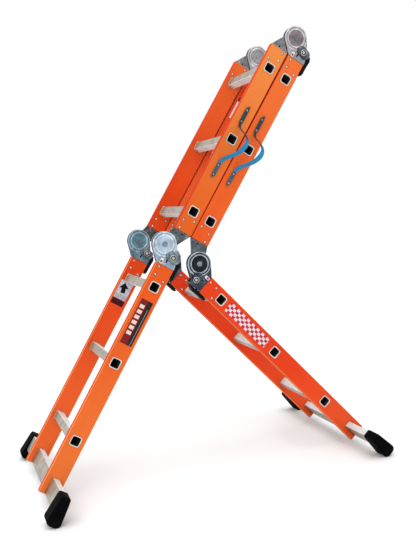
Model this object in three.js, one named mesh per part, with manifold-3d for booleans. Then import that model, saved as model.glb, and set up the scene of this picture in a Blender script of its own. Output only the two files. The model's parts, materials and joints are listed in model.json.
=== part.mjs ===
// Folding multi-position ladder with fibreglass rails, standing as a trestle.
//
// Four three-rung sections are joined end to end by three pairs of locking
// hinges. Sections 1 and 2 are locked in line, section 3 is folded back along
// section 2, and section 4 is the prop leg. Millimetres, +Z up, the rungs lie
// along Y, and the origin is on the ground under the middle of the ladder.
//
// Every section is built in a frame of its own: origin on the hinge pivot it
// starts from, +Z along the section away from that pivot. The pivots sit on
// the edges of the rails, so the middle of a section is SPREAD to one side.

import * as THREE from 'three';
import { mergeVertices } from 'three/addons/utils/BufferGeometryUtils.js';
import Module from 'manifold-3d';

const wasm = await Module();
wasm.setup();

// Ladder layout
const PITCH = 300; // rung to rung
const FIRST_RUNG = 152.5; // hinge pivot to the nearest rung
const PIVOT_SPAN = 2 * FIRST_RUNG + 2 * PITCH; // pivot to pivot of sections 2 and 3
const SPREAD = 38.4; // hinge pivot to the middle line of a section
const PROP_OPENING = THREE.MathUtils.degToRad(104.3); // section 4 from folded
const LOCK_PLAY = THREE.MathUtils.degToRad(0.7); // section 1 past straight
const FOLD_PLAY = THREE.MathUtils.degToRad(0.25); // section 3 past parallel

// Rails
const RAIL_WIDTH = 72;
const RAIL_DEPTH = 22;
const RAIL_WALL = 3;
const RAIL_CORNER = 3.4;
const RAIL_START = 70; // hinge pivot to the end of the rail
const LEG_END = 957; // pivot to the foot end of sections 1 and 4
const INSIDE_WIDTH = 330; // between the rails
const OUTER_FACE = INSIDE_WIDTH / 2 + RAIL_DEPTH;
const RAIL_Y = INSIDE_WIDTH / 2 + RAIL_DEPTH / 2; // middle of a rail's depth

// Rungs
const RUNG_SIZE = 34;
const RUNG_WALL = 2;
const RUNG_CORNER = 7;
const COLLAR_SIZE = 39; // flared end outside the rail
const COLLAR_DEPTH = 1.6;

// Hinges: a fork with two cheeks, a single inner leaf and a lock lever
const DISC_RADIUS = 45;
const CHEEK_INSIDE = 7.2; // half the room between the cheeks
const LEAF_RADIUS = 41;
const LEAF_HALF = 6.7;
const TANG_HALF = 7.6; // half thickness of the tang inside the rail
const TANG_MARGIN = 3.5; // tang edge to rail edge
const TANG_END = 132;
const PIN_RADIUS = 6;
const PIN_HEAD_RADIUS = 10;
const PIN_HEAD_DEPTH = 3;
const DRAIN_HOLE = 4;
const BOSS = new THREE.Vector2(51, 30); // lock lever pivot
const BOSS_RADIUS = 16;
const LEVER_PIN_RADIUS = 5;
const LEVER_PLATE_START = RAIL_DEPTH / 2 + 2.4; // clear of the pressed cover
const LEVER_PLATE_DEPTH = 3;
const NOTCH_WIDTH = 9;
const NOTCH_DEPTH = 5;
const LOCK_POSITIONS = [0, PROP_OPENING, Math.PI];

// Feet: a box bar across each leg end with a rubber boot on both ends
const BAR_THICK = 26;
const BAR_TALL = 62;
const BAR_WALL = 2.5;
const BAR_OUT = 190; // bar end beyond the rail
const BOOT_INNER = 142; // rail to the near face of the boot
const BOOT_OUTER = 206;
const BOOT_TOP = 889;
const BOOT_TOP_HALF = 16;
const SOLE_RADIUS = 18;
const SOLE_CENTRE = new THREE.Vector2(8, 976);
const SOLE_FLAT = THREE.MathUtils.degToRad(22); // half the angle of the worn flat

// Carry straps on the front rails of sections 2 and 3
const STRAP_WIDTH = 18;
const STRAP_THICK = 3.2;
const STRAP_SAG = 0.25; // sideways per millimetre outward

const GAP = 0.3; // between touching pieces

const orange = { color: 0xe2571f, roughness: 0.35 };
const redOrange = { color: 0xdd4a22, roughness: 0.35 };
const aluminium = { color: 0xb4b0a6, roughness: 0.4, metalness: 0.8 };
const zinc = { color: 0x9fb2bf, roughness: 0.35, metalness: 0.8 };
const darkSteel = { color: 0x4c5358, roughness: 0.35, metalness: 0.8 };
const rubber = { color: 0x141414, roughness: 0.8 };
const webbing = { color: 0x3c8fc4, roughness: 0.7 };

const ladder = new THREE.Group();

function piece(parent, name, geometry, look) {
  const mesh = new THREE.Mesh(geometry, new THREE.MeshStandardMaterial(look));
  mesh.name = name;
  parent.add(mesh);
  return mesh;
}

// --- Solids ---------------------------------------------------------------

function toSolid(geometry) {
  const bare = geometry.clone();
  bare.deleteAttribute('normal');
  bare.deleteAttribute('uv');
  const merged = mergeVertices(bare, 1e-4);
  return new wasm.Manifold(new wasm.Mesh({
    numProp: 3,
    vertProperties: new Float32Array(merged.attributes.position.array),
    triVerts: new Uint32Array(merged.index.array),
  }));
}

function toGeometry(solid) {
  const mesh = solid.getMesh();
  const geometry = new THREE.BufferGeometry();
  const corners = new THREE.BufferAttribute(new Float32Array(mesh.vertProperties), 3);
  geometry.setAttribute('position', corners);
  geometry.setIndex(new THREE.BufferAttribute(new Uint32Array(mesh.triVerts), 1));
  geometry.computeVertexNormals();
  return geometry;
}

// Joins the first list of geometries and cuts the second list out of them.
function build(joined, cuts = []) {
  let solid = toSolid(joined[0]);
  for (const extra of joined.slice(1)) {
    solid = solid.add(toSolid(extra));
  }
  for (const cut of cuts) {
    solid = solid.subtract(toSolid(cut));
  }
  return toGeometry(solid);
}

// An outline in the XZ plane given a thickness from y = low to y = high.
function plate(shape, low, high, curveSegments = 7) {
  const depth = high - low;
  const geometry = new THREE.ExtrudeGeometry(shape, { depth, bevelEnabled: false, curveSegments });
  geometry.rotateX(Math.PI / 2);
  return geometry.translate(0, high, 0);
}

// An outline in the XY plane drawn out from z = low to z = high.
function bar(shape, low, high, curveSegments = 1) {
  const depth = high - low;
  const geometry = new THREE.ExtrudeGeometry(shape, { depth, bevelEnabled: false, curveSegments });
  return geometry.translate(0, 0, low);
}

function roundedRect(target, width, height, radius) {
  const x = width / 2 - radius;
  const y = height / 2 - radius;
  target.moveTo(x, -y - radius);
  target.absarc(x, -y, radius, -Math.PI / 2, 0);
  target.absarc(x, y, radius, 0, Math.PI / 2);
  target.absarc(-x, y, radius, Math.PI / 2, Math.PI);
  target.absarc(-x, -y, radius, Math.PI, 1.5 * Math.PI);
  target.closePath();
  return target;
}

function rectangle(x0, x1, z0, z1) {
  const shape = new THREE.Shape();
  shape.moveTo(x0, z0).lineTo(x1, z0).lineTo(x1, z1).lineTo(x0, z1).closePath();
  return shape;
}

function tubeShape(width, height, corner, wall) {
  const shape = roundedRect(new THREE.Shape(), width, height, corner);
  const inside = Math.max(corner - wall, 0.8);
  shape.holes.push(roundedRect(new THREE.Path(), width - 2 * wall, height - 2 * wall, inside));
  return shape;
}

function rod(radius, low, high, x, z, segments = 12) {
  const geometry = new THREE.CylinderGeometry(radius, radius, high - low, segments);
  return geometry.translate(x, (low + high) / 2, z);
}

// --- Rails and rungs --------------------------------------------------------

function railGeometry(side, end, isLeg) {
  const middle = side * SPREAD;
  const tube = bar(tubeShape(RAIL_WIDTH, RAIL_DEPTH, RAIL_CORNER, RAIL_WALL), RAIL_START, end);
  tube.translate(middle, 0, 0);
  const cuts = [];
  const holeSize = RUNG_SIZE + 2 * GAP;
  for (let i = 0; i < 3; i += 1) {
    const hole = roundedRect(new THREE.Shape(), holeSize, holeSize, RUNG_CORNER + GAP);
    const cutter = plate(hole, -RAIL_DEPTH, RAIL_DEPTH, 1);
    cuts.push(cutter.translate(middle, 0, FIRST_RUNG + i * PITCH));
  }
  if (isLeg) {
    const half = BAR_THICK / 2 + GAP;
    const slot = rectangle(middle - half, middle + half, end - BAR_TALL - GAP, end + 1);
    cuts.push(plate(slot, -RAIL_DEPTH, RAIL_DEPTH));
  }
  return build([tube], cuts);
}

function rungGeometry() {
  const outside = OUTER_FACE + GAP;
  const tube = tubeShape(RUNG_SIZE, RUNG_SIZE, RUNG_CORNER, RUNG_WALL);
  const collarWall = RUNG_WALL + (COLLAR_SIZE - RUNG_SIZE) / 2;
  const collar = tubeShape(COLLAR_SIZE, COLLAR_SIZE, RUNG_CORNER + 2, collarWall);
  const end = outside + COLLAR_DEPTH;
  return build([
    plate(tube, -end, end, 1),
    plate(collar, outside, end, 1),
    plate(collar, -end, -outside, 1),
  ]);
}

// --- Hinges -----------------------------------------------------------------

// Where a line from a circle's tangent point to (x, z) leaves the circle.
function tangentAngle(x, z, radius, turn) {
  return Math.atan2(z, x) + turn * Math.acos(radius / Math.hypot(x, z));
}

function mirrored(shape, side, curveSegments = 7) {
  if (side > 0) return shape;
  const points = shape.getPoints(curveSegments).map((p) => new THREE.Vector2(-p.x, p.y));
  return new THREE.Shape(points.reverse());
}

// The pressed cheek: a disc round the pivot that runs out to the rail end.
function cheekShape() {
  const edge = SPREAD + RAIL_WIDTH / 2 - 1;
  const inner = SPREAD - RAIL_WIDTH / 2 + 1;
  const end = RAIL_START - 2;
  const reach = BOSS.length();
  const lean = Math.acos((DISC_RADIUS - BOSS_RADIUS) / reach);
  const low = BOSS.angle() - lean;
  const shape = new THREE.Shape();
  shape.moveTo(inner, end);
  shape.absarc(0, 0, DISC_RADIUS, tangentAngle(inner, end, DISC_RADIUS, 1), low + 2 * Math.PI);
  shape.absarc(BOSS.x, BOSS.y, BOSS_RADIUS, low, 0.2);
  shape.lineTo(edge, end - 8);
  shape.lineTo(edge, end);
  shape.closePath();
  return shape;
}

function tang(side, start) {
  const width = RAIL_WIDTH - 2 * TANG_MARGIN;
  const section = roundedRect(new THREE.Shape(), width, 2 * TANG_HALF, 2.5);
  return bar(section, start, TANG_END).translate(side * SPREAD, 0, 0);
}

function outerLeafGeometry(side) {
  const cheek = mirrored(cheekShape(), side);
  const outside = RAIL_DEPTH / 2;
  const slot = rectangle(32, 38, 40, 50);
  const cuts = [
    rod(PIN_RADIUS + GAP, -RAIL_DEPTH, RAIL_DEPTH, 0, 0),
    rod(LEVER_PIN_RADIUS + GAP, -RAIL_DEPTH, RAIL_DEPTH, side * BOSS.x, BOSS.y),
    plate(mirrored(slot, side), -RAIL_DEPTH, RAIL_DEPTH),
  ];
  return build([
    plate(cheek, CHEEK_INSIDE, outside),
    plate(cheek, -outside, -CHEEK_INSIDE),
    tang(side, RAIL_START - 18),
  ], cuts);
}

function innerLeafShape() {
  const edge = SPREAD + RAIL_WIDTH / 2 - 1;
  const end = RAIL_START - 0.6;
  const start = Math.acos(2 / LEAF_RADIUS);
  const finish = THREE.MathUtils.degToRad(12);
  const shape = new THREE.Shape();
  shape.moveTo(2, end);
  shape.absarc(0, 0, LEAF_RADIUS, start, finish + 2 * Math.PI);
  shape.quadraticCurveTo(46, 40, edge, end);
  shape.closePath();
  return shape;
}

// The inner leaf carries a lock notch for each position of the other leaf.
function innerLeafGeometry(side) {
  const outline = mirrored(innerLeafShape(), side);
  const cuts = [
    rod(PIN_RADIUS + GAP, -RAIL_DEPTH, RAIL_DEPTH, 0, 0),
    rod(DRAIN_HOLE, -RAIL_DEPTH, RAIL_DEPTH, side * 41.7, 61, 8),
  ];
  const towardBoss = Math.atan2(BOSS.x, BOSS.y);
  for (const opening of LOCK_POSITIONS) {
    const half = NOTCH_WIDTH / 2;
    const depth = LEAF_RADIUS - NOTCH_DEPTH;
    const notch = plate(rectangle(-half, half, depth, LEAF_RADIUS + 4), -12, 12);
    cuts.push(notch.rotateY(-side * (towardBoss + opening)));
  }
  return build([plate(outline, -LEAF_HALF, LEAF_HALF), tang(side, RAIL_START - 4)], cuts);
}

function pinGeometry() {
  const face = RAIL_DEPTH / 2 + GAP;
  const top = face + PIN_HEAD_DEPTH;
  const profile = [
    new THREE.Vector2(0, -top),
    new THREE.Vector2(PIN_HEAD_RADIUS - 2, -top),
    new THREE.Vector2(PIN_HEAD_RADIUS, -face),
    new THREE.Vector2(PIN_RADIUS, -face),
    new THREE.Vector2(PIN_RADIUS, face),
    new THREE.Vector2(PIN_HEAD_RADIUS, face),
    new THREE.Vector2(PIN_HEAD_RADIUS - 2, top),
    new THREE.Vector2(0, top),
  ];
  return new THREE.LatheGeometry(profile, 12);
}

// Steel lever: an oval plate outside each cheek, the pin through them and the
// lock pawl between them, its nose 1 mm clear of the inner leaf's rim.
function leverGeometry(side) {
  const along = THREE.MathUtils.degToRad(15);
  const oval = new THREE.Shape();
  const far = new THREE.Vector2(Math.cos(along), Math.sin(along)).multiplyScalar(10);
  oval.absarc(BOSS.x + far.x, BOSS.y + far.y, 18, along - Math.PI / 2, along + Math.PI / 2);
  oval.absarc(BOSS.x - far.x, BOSS.y - far.y, 18, along + Math.PI / 2, along + 1.5 * Math.PI);
  oval.closePath();
  const outline = mirrored(oval, side, 5);
  const start = LEVER_PLATE_START;
  const end = start + LEVER_PLATE_DEPTH;
  const half = CHEEK_INSIDE - 1;
  const nose = BOSS.length() - LEAF_RADIUS - 1;
  const pawl = plate(rectangle(-nose, 4, -3.5, 3.5), -half, half);
  pawl.rotateY(-BOSS.angle());
  pawl.translate(BOSS.x, 0, BOSS.y);
  if (side < 0) pawl.rotateZ(Math.PI);
  return build([
    plate(outline, start, end, 5),
    plate(outline, -end, -start, 5),
    rod(LEVER_PIN_RADIUS, -end, end, side * BOSS.x, BOSS.y),
    rod(9, -half, half, side * BOSS.x, BOSS.y, 8),
    pawl,
  ]);
}

// Moulded grip: held between the lever's plates, it runs down the rail edge.
function gripGeometry(side) {
  const edge = SPREAD + RAIL_WIDTH / 2;
  const shape = new THREE.Shape();
  shape.moveTo(edge + 2, 32);
  shape.lineTo(edge + 9, 30);
  shape.quadraticCurveTo(edge + 16, 36, edge + 15, 50);
  shape.quadraticCurveTo(edge + 12, 78, edge + 13, 103);
  shape.quadraticCurveTo(edge + 9, 109, edge + 3, 104);
  shape.lineTo(edge + 2, 60);
  shape.closePath();
  const half = LEVER_PLATE_START - GAP;
  return plate(mirrored(shape, side, 4), -half, half, 4);
}

function addHinge(name, outerSection, outerSide, innerSection, innerSide, innerStart) {
  for (const [word, y] of [['front', -RAIL_Y], ['back', RAIL_Y]]) {
    const base = `hinge_${name}_${word}`;
    piece(outerSection, `${base}_outer_leaf`, outerLeafGeometry(outerSide), zinc).position.y = y;
    piece(outerSection, `${base}_pivot_pin`, pinGeometry(), zinc).position.y = y;
    piece(outerSection, `${base}_lock_lever`, leverGeometry(outerSide), darkSteel).position.y = y;
    piece(outerSection, `${base}_lever_grip`, gripGeometry(outerSide), rubber).position.y = y;
    const inner = piece(innerSection, `${base}_inner_leaf`, innerLeafGeometry(innerSide), zinc);
    inner.position.y = y;
    inner.position.x = innerStart.x;
    inner.position.z = innerStart.z;
    inner.rotation.y = innerStart.turn;
  }
}

// --- Feet and straps ----------------------------------------------------------

function footBarGeometry(side) {
  const end = OUTER_FACE + BAR_OUT;
  const section = tubeShape(BAR_THICK, BAR_TALL, 3, BAR_WALL);
  return plate(section, -end, end, 1).translate(side * SPREAD, 0, LEG_END - BAR_TALL / 2);
}

// One corner of the sole, worn to a flat that lies level on the ground.
function soleCorner(lean) {
  const low = lean - SOLE_FLAT;
  const high = lean + SOLE_FLAT;
  const angles = [0, low, high, (high + Math.PI / 2) / 2, Math.PI / 2];
  return angles.map((angle) => new THREE.Vector2(
    SOLE_CENTRE.x + SOLE_RADIUS * Math.sin(angle),
    SOLE_CENTRE.y + SOLE_RADIUS * Math.cos(angle),
  ));
}

function bootGeometry(side, facing, lean) {
  const corner = soleCorner(lean);
  const right = [...corner, new THREE.Vector2(BOOT_TOP_HALF + 3, BOOT_TOP + 16)];
  right.push(new THREE.Vector2(BOOT_TOP_HALF, BOOT_TOP));
  const left = right.map((p) => new THREE.Vector2(-p.x, p.y)).reverse();
  const shape = new THREE.Shape([...right, ...left]);
  const near = facing * (OUTER_FACE + BOOT_INNER);
  const far = facing * (OUTER_FACE + BOOT_OUTER);
  const body = plate(shape, Math.min(near, far), Math.max(near, far));
  const socket = roundedRect(new THREE.Shape(), BAR_THICK + 2 * GAP, BAR_TALL + 2 * GAP, 3 + GAP);
  const deep = OUTER_FACE + BAR_OUT + GAP;
  const pocket = plate(socket, -deep, deep, 1).translate(0, 0, LEG_END - BAR_TALL / 2);
  return build([body], [pocket]).translate(side * SPREAD, 0, 0);
}

function strapGeometry() {
  const away = STRAP_THICK / 2 + GAP;
  const line = [
    [away, 590], [away, 552], [away, 520], [8, 505], [30, 491], [65, 474], [91, 456],
    [102, 436], [95, 414], [70, 395], [35, 380], [9, 366], [away, 350], [away, 322], [away, 295],
  ].map(([out, z]) => new THREE.Vector3(out, z, 0));
  const curve = new THREE.CatmullRomCurve3(line, false, 'centripetal');
  const steps = 28;
  const near = [];
  const far = [];
  for (let i = 0; i <= steps; i += 1) {
    const point = curve.getPoint(i / steps);
    const along = curve.getTangent(i / steps);
    point.x = Math.max(point.x, away);
    const across = new THREE.Vector2(-along.y, along.x).multiplyScalar(STRAP_THICK / 2);
    near.push(new THREE.Vector2(point.x + across.x, point.y + across.y));
    far.push(new THREE.Vector2(point.x - across.x, point.y - across.y));
  }
  const band = new THREE.ExtrudeGeometry(new THREE.Shape([...near, ...far.reverse()]), {
    depth: STRAP_WIDTH,
    bevelEnabled: false,
  });
  band.translate(0, 0, -STRAP_WIDTH / 2);
  // outline x now runs outward (-Y), outline y up the section (+Z)
  band.rotateX(Math.PI / 2);
  band.rotateZ(-Math.PI / 2);
  const at = band.attributes.position;
  for (let i = 0; i < at.count; i += 1) {
    at.setX(i, at.getX(i) - STRAP_SAG * at.getY(i));
  }
  return band;
}

// --- Sections -------------------------------------------------------------------

function addSection(number, frame, end, isLeg) {
  const section = new THREE.Group();
  section.position.set(frame.x, 0, frame.z);
  section.rotation.y = frame.turn;
  ladder.add(section);
  const look = number === 4 ? redOrange : orange;
  piece(section, `rail_${number}_front`, railGeometry(frame.side, end, isLeg), look).position.y = -RAIL_Y;
  piece(section, `rail_${number}_back`, railGeometry(frame.side, end, isLeg), look).position.y = RAIL_Y;
  ['a', 'b', 'c'].forEach((letter, i) => {
    const rung = piece(section, `rung_${number}${letter}`, rungGeometry(), aluminium);
    rung.position.set(frame.side * SPREAD, 0, FIRST_RUNG + i * PITCH);
  });
  return section;
}

function addFeet(section, number, side, lean) {
  piece(section, `foot_bar_${number}`, footBarGeometry(side), aluminium);
  piece(section, `boot_${number}_front`, bootGeometry(side, -1, lean), rubber);
  piece(section, `boot_${number}_back`, bootGeometry(side, 1, lean), rubber);
}

// A frame point in the frame that holds it.
function pointOn(frame, x, z) {
  return new THREE.Vector2(
    frame.x + x * Math.cos(frame.turn) + z * Math.sin(frame.turn),
    frame.z - x * Math.sin(frame.turn) + z * Math.cos(frame.turn),
  );
}

const frame2 = { x: -SPREAD, z: 0, turn: 0, side: 1 };
const frame1 = { x: -SPREAD, z: 0, turn: Math.PI - LOCK_PLAY, side: -1 };
const frame3 = { x: SPREAD, z: PIVOT_SPAN, turn: Math.PI + FOLD_PLAY, side: -1 };
const propPivot = pointOn(frame3, -2 * SPREAD, PIVOT_SPAN);
const frame4 = {
  x: propPivot.x,
  z: propPivot.y,
  turn: frame3.turn - Math.PI + PROP_OPENING,
  side: 1,
};

// The ladder leans until the soles of both legs are on one level line.
const soleX = SPREAD + SOLE_CENTRE.x;
const footOne = pointOn(frame1, -soleX, SOLE_CENTRE.y);
const footFour = pointOn(frame4, soleX, SOLE_CENTRE.y);
const stance = footFour.clone().sub(footOne).angle();
const leanOne = frame1.turn + stance - Math.PI;
const leanFour = Math.PI - frame4.turn - stance;

const section1 = addSection(1, frame1, LEG_END, true);
const section2 = addSection(2, frame2, PIVOT_SPAN - RAIL_START, false);
const section3 = addSection(3, frame3, PIVOT_SPAN - RAIL_START, false);
const section4 = addSection(4, frame4, LEG_END, true);
addFeet(section1, 1, frame1.side, leanOne);
addFeet(section4, 4, frame4.side, leanFour);

const startOfSection = { x: 0, z: 0, turn: 0 };
const endOfSection2 = { x: 2 * SPREAD, z: PIVOT_SPAN, turn: Math.PI };
const endOfSection3 = { x: -2 * SPREAD, z: PIVOT_SPAN, turn: Math.PI };
addHinge('12', section1, -1, section2, 1, startOfSection);
addHinge('23', section3, -1, section2, 1, endOfSection2);
addHinge('34', section4, 1, section3, -1, endOfSection3);

const strap2 = piece(section2, 'carry_strap_2', strapGeometry(), webbing);
strap2.position.set(SPREAD, -OUTER_FACE, 0);
const strap3 = piece(section3, 'carry_strap_3', strapGeometry(), webbing);
strap3.position.set(8 - SPREAD, -OUTER_FACE, PIVOT_SPAN - 2);
strap3.rotation.y = Math.PI;

ladder.rotation.y = stance;
ladder.updateMatrixWorld(true);
const box = new THREE.Box3().setFromObject(ladder, true);
ladder.position.x = -(box.min.x + box.max.x) / 2;
ladder.position.z = -box.min.z;

export default ladder;
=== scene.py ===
# Folding multi-position ladder: its finished look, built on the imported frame.
#
# Every piece is made in the frame of its own section: u runs across the rail
# from the hinge edge to the far edge, y along the rungs and z along the section
# away from the hinge. Metres throughout.

import json
import math

import bmesh
import bpy
from bmesh.types import BMEdge, BMVert
from mathutils import Matrix, Vector
from mathutils.geometry import interpolate_bezier


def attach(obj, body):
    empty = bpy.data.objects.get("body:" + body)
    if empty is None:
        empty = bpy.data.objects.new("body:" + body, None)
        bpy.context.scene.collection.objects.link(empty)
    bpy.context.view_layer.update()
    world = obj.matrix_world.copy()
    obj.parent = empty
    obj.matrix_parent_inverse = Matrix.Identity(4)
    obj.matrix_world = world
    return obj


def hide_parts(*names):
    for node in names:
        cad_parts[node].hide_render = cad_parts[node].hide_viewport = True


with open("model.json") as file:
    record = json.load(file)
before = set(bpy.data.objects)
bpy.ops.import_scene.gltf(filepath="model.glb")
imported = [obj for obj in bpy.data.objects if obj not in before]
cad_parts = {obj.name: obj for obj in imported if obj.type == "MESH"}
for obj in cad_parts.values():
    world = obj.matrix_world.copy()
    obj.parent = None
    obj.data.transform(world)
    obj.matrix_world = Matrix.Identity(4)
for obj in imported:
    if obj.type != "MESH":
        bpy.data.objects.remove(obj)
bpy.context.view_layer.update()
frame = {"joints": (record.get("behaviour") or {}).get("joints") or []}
pivots = {joint["name"]: Vector(joint["pos_m"]) for joint in frame["joints"]}

# Ladder
PITCH = 0.300
FIRST_RUNG = 0.1525
SPAN = 0.905  # hinge to hinge of sections 2 and 3
SPREAD = 0.0384  # hinge pivot to the middle line of a section
LEG_END = 0.957
RUNG_PLACES = [FIRST_RUNG + PITCH * i for i in range(3)]
GAP = 0.0003  # between touching pieces
SAME = 1e-6  # places nearer than this are one

# Rails and rungs
RAIL_WIDTH = 0.072
RAIL_DEPTH = 0.022
RAIL_WALL = 0.003
RAIL_CORNER = 0.0034
RAIL_START = 0.070
INSIDE = 0.165  # half the room between the rails
OUTER = INSIDE + RAIL_DEPTH
RAIL_Y = INSIDE + RAIL_DEPTH / 2
FACE = RAIL_DEPTH / 2  # rail middle to its web
RUNG_HALF = 0.017
RUNG_CORNER = 0.007

# Hinges
DISC_RADIUS = 0.045
CHEEK_INSIDE = 0.0072
LEAF_RADIUS = 0.041
LEAF_HALF = 0.0067
TANG_HALF = 0.0076
TANG_REACH = 0.0325  # rail middle to the tang's edge
TANG_END = 0.132
TANG_RIVETS = ((0.020, 0.079), (0.020, 0.110), (0.0585, 0.122))
POCKET_U = (0.032, 0.038)
POCKET_Z = (0.040, 0.057)
POCKET_DEPTH = 0.0025
PAN_RIM = 0.0310
BEAD_RIM = 0.0352
LIP_RIM = 0.0415
DRAIN_HOLE = (0.0417, 0.0610)
BOSS = (0.051, 0.030)
BOSS_RADIUS = 0.016
PLATE_START = FACE + 0.0024
PLATE_END = PLATE_START + 0.003
PLATE_RADIUS = 0.018
PLATE_REACH = 0.010  # boss to the middle of either round end
PLATE_TILT = math.radians(15)
PLATE_DISH = 0.0007
WASHER_HOLE = 0.0088
EDGE = SPREAD + RAIL_WIDTH / 2  # far edge of the rail

# Feet
BAR_HALF = 0.013
BAR_TALL = 0.062
BAR_END = OUTER + 0.190
BOOT_NEAR = OUTER + 0.142
BOOT_FAR = OUTER + 0.206
BOOT_TOP = 0.889
BOOT_SHOULDER = 0.016  # below the top, where the boot is widest
BOOT_HALVES = (0.016, 0.019)  # half widths at the top and the shoulder
SOLE_RADIUS = 0.0174
SOLE_ACROSS = 0.008
SOLE_ALONG = 0.976


# --- Where things are ---

def section_place(origin, other, across, along, side):
    """The frame of a section from two points on it, across and along apart."""
    reach = other - origin
    heading = math.atan2(reach.z, reach.x) - side * math.atan2(along, across)
    u = Vector((math.cos(heading), 0, math.sin(heading)))
    z = Vector((-side * u.z, 0, side * u.x))
    place = Matrix((u, (0, 1, 0), z)).transposed().to_4x4()
    place.translation = (origin.x, 0, origin.z)
    return place


def far_place(place):
    """The frame at the other end of a section, looking back along it."""
    return place @ Matrix.Translation((2 * SPREAD, 0, SPAN)) @ Matrix.Rotation(math.pi, 4, "Y")


PLACES = {
    1: section_place(pivots["hinge_12"], pivots["lever_12_front_pull"], *BOSS, -1),
    2: section_place(pivots["hinge_12"], pivots["hinge_23"], 2 * SPREAD, SPAN, 1),
    3: section_place(pivots["hinge_23"], pivots["hinge_34"], 2 * SPREAD, SPAN, -1),
    4: section_place(pivots["hinge_34"], pivots["lever_34_front_pull"], *BOSS, 1),
}
SIDES = {"front": -1, "back": 1}


def on_rail(place, word):
    return place @ Matrix.Translation((0, SIDES[word] * RAIL_Y, 0))


# --- Making and standing pieces ---

def box(bm, low, high):
    made = bmesh.ops.create_cube(bm, size=1.0)["verts"]
    low, high = Vector(low), Vector(high)
    bmesh.ops.scale(bm, vec=high - low, verts=made)
    bmesh.ops.translate(bm, vec=(low + high) / 2, verts=made)
    return made


def faces_of(verts):
    kept = set(verts)
    return [f for f in {f for v in verts for f in v.link_faces} if kept.issuperset(f.verts)]


def edges_of(verts):
    kept = set(verts)
    return [e for e in {e for v in verts for e in v.link_edges} if kept.issuperset(e.verts)]


def only(kind, geom):
    """What is of one kind in the geometry that an operator gives back."""
    return [g for g in geom if isinstance(g, kind)]


def at(value, wanted):
    return abs(value - wanted) < SAME


def flats_at(bm, y, way):
    """The faces in the plane at y that look out along way."""
    return [f for f in bm.faces if f.normal.y * way > 0.99 and at(f.calc_center_median().y, y)]


def creases(edges, angle=1.0):
    """The edges whose two faces turn by more than angle."""
    return [e for e in edges if e.calc_face_angle(0) > angle]


def along_edges(verts, axis):
    """The edges of a shape that run along one axis."""
    found = []
    for edge in edges_of(verts):
        way = (edge.verts[0].co - edge.verts[1].co).normalized()
        if abs(way[axis]) > 0.999:
            found.append(edge)
    return found


def round_off(bm, edges, width, segments=3):
    bmesh.ops.bevel(bm, geom=edges, offset=width, offset_type="OFFSET", segments=segments,
                    profile=0.5, affect="EDGES", material=-1, clamp_overlap=True)


def cut(bm, point, normal, faces=None):
    """Cuts the faces by a plane and keeps both sides."""
    faces = list(bm.faces) if faces is None else faces
    geom = set(faces)
    for face in faces:
        geom.update(face.edges)
        geom.update(face.verts)
    bmesh.ops.bisect_plane(bm, geom=list(geom), dist=1e-7, plane_co=point, plane_no=normal)


def ring(bm, radius, centre, y, steps=40):
    """Corners of a circle in the u-z plane."""
    made = bmesh.ops.create_circle(bm, cap_ends=False, radius=radius, segments=steps)["verts"]
    turn = Matrix.Translation((centre[0], y, centre[1])) @ Matrix.Rotation(math.pi / 2, 4, "X")
    bmesh.ops.transform(bm, matrix=turn, verts=made)
    return made


def hull_plate(bm, low, high, circles, corners=()):
    """A plate from y = low to y = high round circles and corners, edges flat."""
    points = []
    for y in (low, high):
        for radius, centre, steps in circles:
            points += ring(bm, radius, centre, y, steps)
        points += [bm.verts.new((u, y, z)) for u, z in corners]
    hull = bmesh.ops.convex_hull(bm, input=points)
    spare = set(only(BMVert, hull["geom_interior"] + hull["geom_unused"]))
    bmesh.ops.delete(bm, geom=list(spare), context="VERTS")
    left = [v for v in points if v.is_valid]
    loose = [e for e in edges_of(left) if not e.link_faces]
    bmesh.ops.delete(bm, geom=loose, context="EDGES")
    left = [v for v in points if v.is_valid]
    bmesh.ops.dissolve_limit(bm, angle_limit=0.01, verts=left, edges=edges_of(left))
    left = [v for v in left if v.is_valid]
    bmesh.ops.recalc_face_normals(bm, faces=faces_of(left))
    return left


def turned(bm, profile, steps, centre=(0, 0), foot=0.0, way=1):
    """A part turned about y. The profile lists (radius, y), y counted from foot along way."""
    line = [bm.verts.new((radius, foot + way * y, 0)) for radius, y in profile]
    edges = [bm.edges.new(pair) for pair in zip(line, line[1:])]
    before = set(bm.verts) - set(line)
    bmesh.ops.spin(bm, geom=line + edges, cent=(0, 0, 0), axis=(0, 1, 0), dvec=(0, 0, 0),
                   angle=2 * math.pi, steps=steps, use_merge=True, use_duplicate=False)
    made = [v for v in bm.verts if v not in before]
    bmesh.ops.remove_doubles(bm, verts=made, dist=SAME)
    made = [v for v in bm.verts if v not in before]
    bmesh.ops.recalc_face_normals(bm, faces=faces_of(made))
    bmesh.ops.translate(bm, vec=(centre[0], 0, centre[1]), verts=made)
    return made


def show(name, data):
    """Puts a mesh, lamp or camera in the scene."""
    item = bpy.data.objects.new(name, data)
    bpy.context.scene.collection.objects.link(item)
    return item


def use_finish(verts, index):
    for face in faces_of(verts):
        face.material_index = index


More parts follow.
